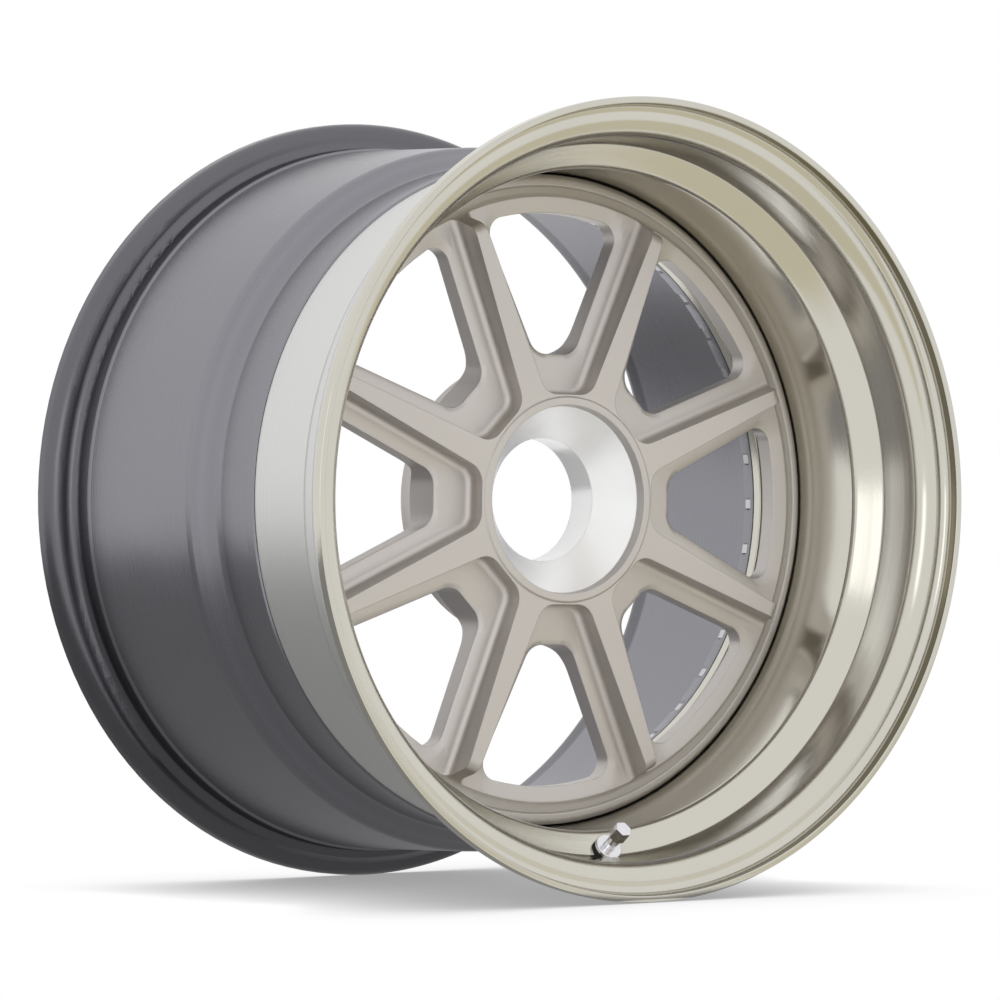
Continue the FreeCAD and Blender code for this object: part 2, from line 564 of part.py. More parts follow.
def window_tool():
    """What the milling cutter removes: round-footed pockets, and windows with a sloping band.

    The floors fall from the hub to the ledge, so the outlines lie on a tilted plane.
    """
    body = new_body("window_tool")
    body.AllowCompound = True
    floor = f"floor_offset + {LEDGE_R} * tan({FLOOR_TILT})"
    sketch = new_sketch(body, "pocket_outline", "XZ_Plane", floor, f"-{FLOOR_TILT}")
    window_outline(sketch, POCKET_INNER, POCKET_HALF, "pocket_angle",
                   f"{RING_R} + pocket_corner", "pocket_corner", "pocket_corner")
    raised = pad(body, "pocket_block", sketch, "face_offset + hub_ring_rise + pocket_round - floor_offset")
    rounded = body.newObject("PartDesign::Fillet", "pocket_foot")
    rounded.Base = (raised, edges_on(raised, sketch))
    rounded.setExpression("Radius", bound("pocket_round"))
    doc.recompute()
    edge = new_sketch(body, "window_edge", "XZ_Plane", f"{floor} - band_depth", f"-{FLOOR_TILT}")
    window_outline(edge, WINDOW_INNER, WINDOW_HALF, "pocket_angle",
                   WINDOW_R, "window_corner_in", "window_corner_out")
    band = new_sketch(body, "band_edge", "XZ_Plane", floor, f"-{FLOOR_TILT}")
    window_outline(band, f"{WINDOW_INNER} - band_width",
                   f"{WINDOW_HALF} + band_width / cos(pocket_angle) - band_width * tan(pocket_angle)",
                   "pocket_angle", LEDGE_R, "window_corner_in + band_width", "window_corner_out + band_width")
    slope = body.newObject("PartDesign::AdditiveLoft", "window_band")
    slope.Profile = edge
    slope.Sections = [band]
    slope.Ruled = True
    doc.recompute()
    through = pad(body, "window_block", edge, "face_offset")
    through.UseCustomVector = True
    through.Direction = Vector(0, 1, 0)
    through.AlongSketchNormal = False
    doc.recompute()
    ring_of(body, "window_blocks", None, "spoke_count")
    return body


def wheel_centre():
    """Forged centre: the turned blank with its pockets and windows milled out."""
    cut = doc.addObject("Part::Cut", "wheel_centre")
    cut.Base = centre_blank()
    cut.Tool = window_tool()
    clock(cut)
    return cut


def assembly_bolts():
    """Ring of bolts, heads behind the inner half and shanks screwed into the centre."""
    body = new_body("assembly_bolts")
    body.AllowCompound = True
    head = new_sketch(body, "head_outline", "XZ_Plane", HEAD_S)
    hexagon_outline(head, BOLT_R, "head_flats")
    pad(body, "head", head, "head_height", backwards=True)
    shank = new_sketch(body, "shank_outline", "XZ_Plane", HEAD_S)
    circle_outline(shank, "0", BOLT_R, "bolt_diameter / 2")
    pad(body, "shank", shank, "bolt_web + outer_flange + bolt_grip")
    ring_of(body, "bolt_ring", None, "bolt_count")
    clock(body)
    return body


def rim_seal():
    """Sealing ring in the corner between the two halves."""
    seal = doc.addObject("Part::Torus", "rim_seal")
    seal.setExpression("Radius1", bound(f"{COLLAR_BORE} - seal_section / 2 - seal_clearance"))
    seal.setExpression("Radius2", bound("seal_section / 2"))
    middle = f"-({JOINT_S} + seal_section / 2 + seal_clearance)"
    seal.setExpression("Placement", bound(
        f"placement(vector(0; {middle}; 0); rotation(vector(1; 0; 0); 90))"))
    return seal


def place_on_ramp(thing, height="0"):
    """Stands a piece on the ramp's spot face at the wheel's foot, its Z axis along the valve, at a height."""
    y = f"-({VALVE_S}) - ({height} - spot_depth) * sin(ramp_angle)"
    z = f"-{VALVE_R} + ({height} - spot_depth) * cos(ramp_angle)"
    thing.setExpression("Placement", bound(
        f"placement(vector(0; {y}; {z}); rotation(vector(1; 0; 0); ramp_angle))"))


def valve_piece(label, corners):
    """A turned valve piece; corners are (radius, height above the spot face[, rounding])."""
    body = new_body(label)
    revolve(body, label + "_turning", corners, plane="XZ_Plane")
    place_on_ramp(body)
    return body


def valve():
    """Clamp-in valve on the ramp: stem, two grommets, collar, core and cap."""
    wall = "(rim_wall - spot_depth)"
    inside = "-(rim_wall - spot_depth + inner_grommet)"
    core_r = "(core_diameter / 2 + core_clearance)"
    core_foot = "(stem_length - core_length)"
    collar_top = "(outer_grommet + collar_height)"
    cap_foot = "(stem_length + cap_roof - cap_length)"
    stem = valve_piece("valve_stem", [
        (core_r, core_foot),
        (core_r, "stem_length"),
        (STEM_R, "stem_length"),
        (STEM_R, inside),
        ("stem_head / 2", inside),
        ("stem_head / 2", f"{inside} - stem_head_height"),
        ("core_pin / 2", f"{inside} - stem_head_height"),
        ("core_pin / 2", core_foot),
    ])
    inner = valve_piece("valve_inner_grommet", [
        (SLIDE_R, inside),
        ("grommet_diameter / 2", inside, "grommet_round"),
        ("grommet_diameter / 2", f"-{wall}"),
        (SLIDE_R, f"-{wall}"),
    ])
    outer = valve_piece("valve_outer_grommet", [
        (SLIDE_R, "-grommet_sleeve"),
        ("valve_hole / 2 - grommet_clearance", "-grommet_sleeve"),
        ("valve_hole / 2 - grommet_clearance", "0"),
        ("grommet_diameter / 2", "0"),
        ("grommet_diameter / 2", "outer_grommet", "grommet_round"),
        (SLIDE_R, "outer_grommet"),
    ])
    collar = valve_piece("valve_collar", [
        (SLIDE_R, "outer_grommet"),
        ("collar_diameter / 2", "outer_grommet"),
        ("collar_diameter / 2", collar_top, "collar_round"),
        (SLIDE_R, collar_top),
    ])
    core = valve_piece("valve_core", [
        ("0", core_foot),
        ("core_diameter / 2", core_foot),
        ("core_diameter / 2", "stem_length - core_pin"),
        ("core_pin / 2", "stem_length - core_pin"),
        ("core_pin / 2", "stem_length"),
        ("0", "stem_length"),
    ])
    cap = new_body("valve_cap")
    hexagon = new_sketch(cap, "cap_outline", "XY_Plane", cap_foot)
    hexagon_outline(hexagon, "0", "cap_flats")
    pad(cap, "cap_block", hexagon, "cap_length")
    bore = new_sketch(cap, "cap_bore", "XY_Plane", cap_foot)
    circle_outline(bore, "0", "0", SLIDE_R)
    pocket(cap, "cap_bore_cut", bore, "cap_length - cap_roof", forwards=True)
    place_on_ramp(cap)
    return [stem, inner, outer, collar, core, cap]


PIECES = [outer_half(), inner_half(), wheel_centre(), assembly_bolts(), rim_seal()] + valve()
doc.recompute()

for thing in doc.Objects:
    if "Invalid" in thing.State or "Error" in thing.State:
        raise RuntimeError(f"{thing.Label} failed: {thing.State}")
for piece in PIECES:
    if piece.Shape.isNull() or not piece.Shape.isValid():
        raise RuntimeError(f"{piece.Label} has no valid shape")

os.makedirs("parts", exist_ok=True)
for piece in PIECES:
    piece.Shape.exportStep(f"parts/{piece.Label}.step")
    print(f"{piece.Label}: {len(piece.Shape.Solids)} solids, {piece.Shape.Volume / 1000:.1f} cm3")
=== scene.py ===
"""Dresses a split-rim alloy wheel: finishes, smooth pieces for reflections, studio light and camera."""

import logging
import math
from dataclasses import dataclass
from typing import Any, Optional, Sequence, Union

import bmesh
import bpy
import numpy as np
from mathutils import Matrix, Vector

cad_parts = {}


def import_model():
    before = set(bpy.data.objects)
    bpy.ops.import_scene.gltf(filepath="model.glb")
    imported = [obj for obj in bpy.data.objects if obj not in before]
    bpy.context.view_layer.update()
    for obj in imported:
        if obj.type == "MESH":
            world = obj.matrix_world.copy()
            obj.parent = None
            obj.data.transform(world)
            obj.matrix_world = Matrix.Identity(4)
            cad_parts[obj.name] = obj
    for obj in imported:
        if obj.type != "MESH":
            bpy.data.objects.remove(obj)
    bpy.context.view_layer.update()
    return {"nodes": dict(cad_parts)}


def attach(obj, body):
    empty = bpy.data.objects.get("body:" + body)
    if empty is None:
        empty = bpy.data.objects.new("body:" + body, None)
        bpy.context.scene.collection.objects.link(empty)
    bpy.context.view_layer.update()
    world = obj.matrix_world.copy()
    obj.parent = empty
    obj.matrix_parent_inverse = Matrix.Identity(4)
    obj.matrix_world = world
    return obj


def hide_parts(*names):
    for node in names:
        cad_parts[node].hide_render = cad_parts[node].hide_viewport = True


LOG = logging.getLogger("wheel")
MM = 0.001
Number = Union[int, float]
Colour = tuple[float, float, float, float]


def from_display(red: int, green: int, blue: int) -> Colour:
    """Turns display values from 0 to 255 into the linear colour that a shader takes.

    Args:
        red: Display red.
        green: Display green.
        blue: Display blue.

    Returns:
        Linear red, green, blue and an alpha of one.
    """
    shares = np.array([red, green, blue]) / 255.0
    linear = np.where(shares <= 0.04045, shares / 12.92, ((shares + 0.055) / 1.055) ** 2.4)
    return (float(linear[0]), float(linear[1]), float(linear[2]), 1.0)


def toned(colour: Colour, share: float) -> Colour:
    """A colour times a share, with its alpha kept at one."""
    return (colour[0] * share, colour[1] * share, colour[2] * share, 1.0)


class Wire:
    """A shader socket that takes part in Python expressions; each operator adds a Math node."""

    def __init__(self, graph: "Graph", socket: bpy.types.NodeSocket) -> None:
        """Keeps the graph and the output socket."""
        self.graph = graph
        self.socket = socket

    def _math(self, operation: str, first: Any, second: Any = 0.0) -> "Wire":
        """Adds one Math node and returns its result."""
        return self.graph.node("ShaderNodeMath", {"operation": operation}, {0: first, 1: second})

    def __add__(self, other: Any) -> "Wire":
        """Sum."""
        return self._math("ADD", self, other)

    __radd__ = __add__

    def __mul__(self, other: Any) -> "Wire":
        """Product."""
        return self._math("MULTIPLY", self, other)

    def __sub__(self, other: Any) -> "Wire":
        """Difference."""
        return self._math("SUBTRACT", self, other)

    def __rsub__(self, other: Any) -> "Wire":
        """Difference, with the wire on the right."""
        return self._math("SUBTRACT", other, self)

    def __pow__(self, other: Any) -> "Wire":
        """Power."""
        return self._math("POWER", self, other)

    def __gt__(self, other: Any) -> "Wire":
        """One where the wire is greater, zero elsewhere."""
        return self._math("GREATER_THAN", self, other)

    def __lt__(self, other: Any) -> "Wire":
        """One where the wire is smaller, zero elsewhere."""
        return self._math("LESS_THAN", self, other)

    def least(self, other: Any) -> "Wire":
        """The smaller of two values."""
        return self._math("MINIMUM", self, other)

    def most(self, other: Any) -> "Wire":
        """The greater of two values."""
        return self._math("MAXIMUM", self, other)

    def step(self, low: Number, high: Number) -> "Wire":
        """Smooth rise from zero at low to one at high.

        Args:
            low: Value at which the rise starts.
            high: Value at which it ends.

        Returns:
            The risen value.
        """
        settings = {"interpolation_type": "SMOOTHSTEP"}
        inputs = {"Value": self, "From Min": low, "From Max": high}
        return self.graph.node("ShaderNodeMapRange", settings, inputs)


class Graph:
    """A material's node tree, with one method that adds any node."""

    def __init__(self, name: str) -> None:
        """Makes an empty material with its principled shader and output."""
        self.material = bpy.data.materials.new(name)
        self.material.use_nodes = True
        self.tree = self.material.node_tree
        self.tree.nodes.clear()
        self.shader = self.tree.nodes.new("ShaderNodeBsdfPrincipled")
        self.surface = self.tree.nodes.new("ShaderNodeOutputMaterial").inputs["Surface"]
        self.tree.links.new(self.shader.outputs["BSDF"], self.surface)

    def connect(self, socket: bpy.types.NodeSocket, value: Any) -> None:
        """Links a wire to an input, or sets the input's own value."""
        if isinstance(value, Wire):
            self.tree.links.new(value.socket, socket)
        else:
            socket.default_value = value

    def node(self, kind: str, settings: Optional[dict[str, Any]] = None,
             inputs: Optional[dict[Any, Any]] = None, output: Union[int, str] = 0) -> Wire:
        """Adds a node of any type.

        Args:
            kind: The node's type name.
            settings: Properties that are set first.
            inputs: Values or wires by input name or number.
            output: Name or number of the output that is returned.

        Returns:
            The chosen output as a wire.
        """
        made = self.tree.nodes.new(kind)
        for key, value in (settings or {}).items():
            setattr(made, key, value)
        for key, value in (inputs or {}).items():
            self.connect(made.inputs[key], value)
        return Wire(self, made.outputs[output])

    def mix(self, factor: Any, first: Any, second: Any) -> Wire:
        """Blends two colours, the first at zero and the second at one."""
        settings = {"data_type": "RGBA"}
        return self.node("ShaderNodeMix", settings, {0: factor, 6: first, 7: second}, output=2)

    def place(self) -> tuple[Wire, Wire, Wire]:
        """The surface point in the wheel's frame, in metres: x, y and z."""
        where = self.node("ShaderNodeTexCoord", output="Object")
        return tuple(self.node("ShaderNodeSeparateXYZ", None, {0: where}, axis) for axis in range(3))

    def noise(self, scale: Number, detail: Number = 3.0) -> Wire:
        """Noise from 0 to 1 over the wheel's frame.

        Args:
            scale: Grains per metre.
            detail: Octaves of finer grain.

        Returns:
            The noise value.
        """
        where = self.node("ShaderNodeTexCoord", output="Object")
        return self.node("ShaderNodeTexNoise", None, {"Vector": where, "Scale": scale, "Detail": detail})

    def ring_noise(self, along: Wire, scale: Number, detail: Number = 3.0) -> Wire:
        """Noise that changes only along one value, as a turning tool's lines do.

        Args:
            along: Value in metres that the lines follow.
            scale: Lines per metre.
            detail: Octaves of finer lines.

        Returns:
            The noise value.
        """
        settings = {"noise_dimensions": "1D"}
        return self.node("ShaderNodeTexNoise", settings, {"W": along, "Scale": scale, "Detail": detail})

    def bump(self, height: Wire, strength: Number, distance: Number, base: Optional[Wire] = None) -> None:
        """Feeds a height through a Bump node to the shader's normal.

        Args:
            height: Height of the relief, from 0 to 1.
            strength: Share of the relief that shows.
            distance: Height of the full relief, in metres.
            base: Normal that the relief stands on, where it isn't the surface's own.
        """
        inputs = {"Height": height, "Strength": strength, "Distance": distance}
        if base:
            inputs["Normal"] = base
        self.connect(self.shader.inputs["Normal"], self.node("ShaderNodeBump", None, inputs))

    def shade(self, **values: Any) -> bpy.types.Material:
        """Sets the principled shader's inputs; underscores in names stand for spaces.

        Args:
            values: Values or wires by input name, in lower case.

        Returns:
            The material.
        """
        named = {key.name.lower().replace(" ", "_"): key for key in self.shader.inputs}
        for key, value in values.items():
            self.connect(named[key], value)
        return self.material


@dataclass(frozen=True)
class RimSection:
    """Sizes of the outer half's section, in millimetres and degrees; places are (radius, offset)."""

    bead_r: float = 231.0
    face: float = 146.05
    flange_height: float = 17.5
    flange_width: float = 14.85
    curl: float = 9.5
    bead_corner: float = 6.5
    taper: float = 5.0
    wall: float = 6.0
    lip_wall: float = 4.2
    lip_corner: float = 12.0
    front_seat: float = 35.3
    ramp_angle: float = 53.0
    dish_r: float = 207.0

    @property
    def flange_r(self) -> float:
        """Radius of the flange."""
        return self.bead_r + self.flange_height

    @property
    def lip_r(self) -> float:
        """Radius of the flange's inner face, inside the lip."""
        return self.flange_r - self.lip_wall

    @property
    def edge(self) -> float:
        """Offset of the flange's outer edge."""
        return self.face + self.flange_width

    @property
    def slope(self) -> float:
        """Rise of the bead seat per length."""
        return math.tan(math.radians(self.taper))

    @property
    def inside_r(self) -> float:
        """Radius of the bead seat's inner face, at the flange."""
        return self.bead_r - self.wall / math.cos(math.radians(self.taper))

    @property
    def ramp_rise(self) -> float:
        """Rise of the ramp per length."""
        return math.tan(math.radians(self.ramp_angle))

    @property
    def ramp_top(self) -> tuple[float, float]:
        """Corner between ramp and bead seat on the tyre side."""
        return (self.bead_r - self.front_seat * self.slope, self.face - self.front_seat)

    @property
    def ramp_foot(self) -> tuple[float, float]:
        """Corner between well and ramp on the tyre side."""
        top_r, top_s = self.ramp_top
        foot_r = self.dish_r + self.wall
        return (foot_r, top_s - (top_r - foot_r) / self.ramp_rise)

    @property
    def dish_foot(self) -> tuple[float, float]:
        """Corner between dish and ramp on the street side."""
        shift = self.wall * math.tan(math.radians(self.ramp_angle / 2))
        return (self.dish_r, self.ramp_foot[1] + shift)

    @property
    def dish_top(self) -> tuple[float, float]:
        """Corner between ramp and bead seat on the street side."""
        foot_r, foot_s = self.dish_foot
        middle_r = self.inside_r - self.face * self.slope
        top_s = (middle_r - foot_r + foot_s * self.ramp_rise) / (self.ramp_rise - self.slope)
        return (foot_r + (top_s - foot_s) * self.ramp_rise, top_s)


@dataclass(frozen=True)
class OuterHalfFinish:
    """Clear-coated champagne polish in the dish and on the lip, brushed satin on the tyre side."""

    section: RimSection = RimSection()
    polish: Colour = from_display(208, 205, 195)
    # painted shade: a darker colour for the groove inside the lip, standing in for its shadow
    groove_shade: Colour = from_display(128, 123, 108)
    satin: Colour = from_display(224, 224, 222)
    polish_shade: float = 0.93
    satin_shade: float = 0.88
    polish_roughness: float = 0.13
    satin_roughness: float = 0.42
    roughness_spread: float = 0.06
    satin_end: float = 154.5 * MM
    groove_half: float = 0.6 * MM
    groove_start: float = 155.3 * MM
    groove_end: float = 160.5 * MM
    line_scale: float = 900.0
    fine_scale: float = 4200.0
    fine_share: float = 0.4
    cloud_scale: float = 14.0
    relief: float = 0.4 * MM
    relief_share: float = 0.12

    def tyre_side(self, radius: Wire, offset: Wire) -> Wire:
        """One on the tyre's side of the wall, by a line half way through well, ramp, seat, bend and curl.

        Args:
            radius: Distance from the axle, in metres.
            offset: Distance in front of the middle, in metres.

        Returns:
            The mask.
        """
        cut = self.section
        foot = (cut.ramp_foot[1] + cut.dish_foot[1]) / 2 * MM
        well = (offset - foot).most(0.0) * cut.ramp_rise + (cut.dish_r + cut.wall / 2) * MM
        seat = (offset - cut.face * MM) * cut.slope + (cut.bead_r + cut.inside_r) / 2 * MM
        bend_start = (cut.face - cut.bead_corner) * MM
        bend_reach = (cut.bead_corner + cut.lip_wall / 2) * MM
        inward = (radius - (cut.bead_r + cut.bead_corner) * MM).least(0.0)
        onward = offset - bend_start
        bend = (inward * inward + onward * onward) ** 0.5
        curl = (radius > (cut.flange_r - cut.lip_wall / 2) * MM) * (offset < self.satin_end)
        behind = (offset < bend_start).most(bend < bend_reach).most(curl)
        return (radius > well.least(seat)) * behind

    def groove_shade_line(self, radius: Wire, offset: Wire) -> Wire:
        """One on the painted shade line in the groove just inside the lip.

        Args:
            radius: Distance from the axle, in metres.
            offset: Distance in front of the middle, in metres.

        Returns:
            The mask.
        """
        middle = self.section.lip_r * MM
        across = (radius > middle - self.groove_half) * (radius < middle + self.groove_half)
        return across * (offset > self.groove_start) * (offset < self.groove_end)

    def build(self) -> bpy.types.Material:
        """Turning lines run round the axle; masks by radius and offset part the finishes.

        Returns:
            The finish as a material.
        """
        graph = Graph("outer_half_finish")
        x, y, z = graph.place()
        radius = (x * x + z * z) ** 0.5
        offset = y * -1.0
        tyre_side = self.tyre_side(radius, offset)
        lines = graph.ring_noise(offset + radius, self.line_scale)
        fine = graph.ring_noise(offset + radius, self.fine_scale)
        cloud = graph.noise(self.cloud_scale)
        satin = graph.mix(lines, toned(self.satin, self.satin_shade), self.satin)
        polish = graph.mix(cloud, toned(self.polish, self.polish_shade), self.polish)
        # painted shade: the groove just inside the lip takes the darker painted shade colour
        street_side = graph.mix(self.groove_shade_line(radius, offset), polish, self.groove_shade)
        rough = tyre_side * (self.satin_roughness - self.polish_roughness) + self.polish_roughness
        graph.bump(lines * tyre_side + fine * self.fine_share, self.relief_share, self.relief)
        return graph.shade(base_color=graph.mix(tyre_side, street_side, satin), metallic=1.0,
                           roughness=rough + (fine - 0.5) * self.roughness_spread)


@dataclass(frozen=True)
class InnerHalfFinish:
    """Dark satin with fine lines from the lathe."""

    colour: Colour = from_display(146, 146, 152)
    shade: float = 0.80
    # painted shade: the rear flange takes a darker copy of the barrel's grey
    flange: Colour = from_display(107, 107, 112)
    flange_start: float = 129.0 * MM
    blend: float = 2.0 * MM
    sealant: Colour = from_display(22, 22, 22)
    sealant_start: float = -23.1 * MM
    sealant_r: float = 190.0 * MM
    roughness: float = 0.28
    cloud_spread: float = 0.08
    fine_spread: float = 0.1
    line_scale: float = 700.0
    line_share: float = 0.7
    fine_scale: float = 3600.0
    fine_share: float = 0.5
    cloud_scale: float = 9.0
    relief: float = 0.4 * MM
    relief_share: float = 0.10

    def build(self) -> bpy.types.Material:
        """Lines run round the axle, coarse and fine, with slow clouding; black sealant shows at the joint.

        Returns:
            The finish as a material.
        """
        graph = Graph("inner_half_finish")
        x, y, z = graph.place()
        radius = (x * x + z * z) ** 0.5
        along = radius - y
        lines = graph.ring_noise(along, self.line_scale)
        fine = graph.ring_noise(along, self.fine_scale)
        cloud = graph.noise(self.cloud_scale)
        wear = lines * self.line_share + cloud * (1.0 - self.line_share)
        barrel = graph.mix(wear, toned(self.colour, self.shade), self.colour)
        on_flange = y.step(self.flange_start - self.blend, self.flange_start + self.blend)
        # painted shade: the barrel's grey blends into the darker flange colour towards the rear
        metal = graph.mix(on_flange, barrel, self.flange)
        sealed = (y < self.sealant_start) * (radius < self.sealant_r)
        clouding = (cloud - 0.5) * self.cloud_spread + (fine - 0.5) * self.fine_spread
        graph.bump(lines + fine * self.fine_share, self.relief_share, self.relief)
        return graph.shade(base_color=graph.mix(sealed, metal, self.sealant), metallic=1.0 - sealed,
                           roughness=self.roughness + clouding)


@dataclass(frozen=True)
class CentreFinish:
    """Fine-blasted warm grey, with a bright machined cone for the nut."""

    colour: Colour = from_display(211, 206, 202)
    shade: float = 0.88
    metal: float = 0.88
    roughness: float = 0.46
    roughness_spread: float = 0.1
    cone: Colour = from_display(253, 253, 253)
    cone_shade: float = 0.92
    cone_metal: float = 0.44
    cone_roughness: float = 0.20
    cone_r: float = 59.0 * MM
    cone_mouth: float = -65.6 * MM
    bore_end: float = -21.5 * MM
    edge: float = 0.9 * MM
    edge_samples: int = 6
    grain_scale: float = 2600.0
    grain_detail: float = 2.0
    cloud_scale: float = 11.0
    cloud_share: float = 0.6
    ring_scale: float = 2400.0
    relief: float = 0.3 * MM
    relief_share: float = 0.10

    def build(self) -> bpy.types.Material:
        """Blasted grain everywhere but on the cone and bore, which show the turning tool's rings.

        Returns:
            The finish as a material.
        """
        graph = Graph("centre_finish")
        x, y, z = graph.place()
        radius = (x * x + z * z) ** 0.5
        machined = (radius < self.cone_r) * (y > self.cone_mouth) * (y < self.bore_end)
        grain = graph.noise(self.grain_scale, self.grain_detail)
        cloud = graph.noise(self.cloud_scale)
        rings = graph.ring_noise(radius - y, self.ring_scale)
        wear = cloud * self.cloud_share + grain * (1.0 - self.cloud_share)
        blasted = graph.mix(wear, toned(self.colour, self.shade), self.colour)
        bright = graph.mix(rings, toned(self.cone, self.cone_shade), self.cone)
        soft = graph.node("ShaderNodeBevel", {"samples": self.edge_samples}, {"Radius": self.edge})
        height = grain * (1.0 - machined) + rings * machined
        graph.bump(height, self.relief_share, self.relief, soft)
        rough = self.roughness - machined * (self.roughness - self.cone_roughness)
        return graph.shade(base_color=graph.mix(machined, blasted, bright),
                           metallic=self.metal - machined * (self.metal - self.cone_metal),
                           roughness=rough + (grain - 0.5) * self.roughness_spread)


@dataclass(frozen=True)
class PlatedFinish:
    """Plated or turned metal for small fittings."""

    name: str
    colour: Colour
    roughness: float
    roughness_spread: float = 0.12
    shade: float = 0.85
    cloud_scale: float = 420.0
    relief: float = 0.2 * MM
    relief_share: float = 0.05

    def build(self) -> bpy.types.Material:
        """Slight clouding of colour and gloss.

        Returns:
            The finish as a material.
        """
        graph = Graph(self.name)
        cloud = graph.noise(self.cloud_scale)
        plate = graph.mix(cloud, toned(self.colour, self.shade), self.colour)
        graph.bump(cloud, self.relief_share, self.relief)
        return graph.shade(base_color=plate, metallic=1.0,
                           roughness=self.roughness + (cloud - 0.5) * self.roughness_spread)


@dataclass(frozen=True)
class RubberFinish:
    """Black rubber with a dusty grain."""

    name: str = "rubber_finish"
    colour: Colour = from_display(30, 30, 30)
    dust: float = 1.7
    roughness: float = 0.62
    roughness_rise: float = 0.15
    grain_scale: float = 1500.0
    relief: float = 0.3 * MM
    relief_share: float = 0.15

    def build(self) -> bpy.types.Material:
        """Grain in colour and height.

        Returns:
            The finish as a material.
        """
        graph = Graph(self.name)
        grain = graph.noise(self.grain_scale)
        dusty = graph.mix(grain, self.colour, toned(self.colour, self.dust))
        graph.bump(grain, self.relief_share, self.relief)
        return graph.shade(base_color=dusty, roughness=self.roughness + grain * self.roughness_rise)


Corner = tuple[float, float, float]


def rounded(corners: Sequence[Corner], arc_step: float = 7.0, run_step: float = 12.0) -> np.ndarray:
    """Points along a closed outline whose corners are rounded.

    Each rounding is the circle arc that touches both sides of its corner. Straight runs are divided too, so
    that shading stays even along them.

    Args:
        corners: Radius, offset and rounding of each corner, in millimetres.
        arc_step: Degrees of turn between points on an arc.
        run_step: Millimetres between points on a straight run.

    Returns:
        An array of (radius, offset) rows in millimetres.
    """
    spots = np.array([corner[:2] for corner in corners])
    rounds = np.array([corner[2] for corner in corners])
    back = np.roll(spots, 1, axis=0) - spots
    ahead = np.roll(spots, -1, axis=0) - spots
    back /= np.linalg.norm(back, axis=1)[:, None]
    ahead /= np.linalg.norm(ahead, axis=1)[:, None]
    half = np.arccos(np.clip((back * ahead).sum(1), -1, 1)) / 2
    reach = rounds / np.tan(half)
    entry = spots + back * reach[:, None]
    leave = spots + ahead * reach[:, None]
    bisector = back + ahead
    bisector /= np.linalg.norm(bisector, axis=1)[:, None]
    centre = spots + bisector * (rounds / np.sin(half))[:, None]
    runs = []
    for i in range(len(spots)):
        turn = math.pi - 2 * half[i]
        count = max(2, int(math.degrees(turn) / arc_step) + 1) if rounds[i] > 0 else 1
        first = math.atan2(*(entry[i] - centre[i])[::-1])
        sweep = turn if np.cross(back[i], ahead[i]) < 0 else -turn
        angles = first + sweep * np.linspace(0, 1, count)
        runs.append(centre[i] + rounds[i] * np.stack([np.cos(angles), np.sin(angles)], axis=1))
        gap = entry[(i + 1) % len(spots)] - leave[i]
        pieces = int(np.linalg.norm(gap) / run_step)
        shares = np.linspace(0, 1, pieces + 2)[1:-1]
        runs.append(leave[i] + shares[:, None] * gap)
    return np.concatenate(runs)


def turned_mesh(name: str, outline: np.ndarray, turns: int = 288, crease: float = 32.0) -> bpy.types.Object:
    """A closed outline carried once round the axle.

    The point at angle t of outline point (r, s) is (r sin t, -s, r cos t).

    Args:
        name: Name of the piece.
        outline: Rows of (radius, offset) in millimetres, in order round the section.
        turns: Steps round the axle.
        crease: Angle in degrees above which an edge stays sharp.

    Returns:
        The piece's object, at the origin.
    """
    angle = np.linspace(0, 2 * math.pi, turns, endpoint=False)
    radius = outline[:, 0] * MM
    offset = outline[:, 1] * MM
    grid = np.stack([np.outer(np.sin(angle), radius), np.broadcast_to(-offset, (turns, len(offset))),
                     np.outer(np.cos(angle), radius)], axis=2)
    rows = np.arange(turns)[:, None] * len(radius)
    next_rows = np.roll(rows, -1, axis=0)
    cols = np.arange(len(radius))[None, :]
    next_cols = np.roll(cols, -1, axis=1)
    quads = np.stack([rows + cols, rows + next_cols, next_rows + next_cols, next_rows + cols], axis=2)
    mesh = bpy.data.meshes.new(name)
    mesh.from_pydata(grid.reshape(-1, 3), [], quads.reshape(-1, 4).tolist())
    mesh.validate()
    solid = bmesh.new()
    solid.from_mesh(mesh)
    bmesh.ops.recalc_face_normals(solid, faces=solid.faces)
    solid.to_mesh(mesh)
    solid.free()
    mesh.shade_smooth()
    mesh.set_sharp_from_angle(angle=math.radians(crease))
    thing = bpy.data.objects.new(name, mesh)
    bpy.context.scene.collection.objects.link(thing)
    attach(thing, "root")
    return thing


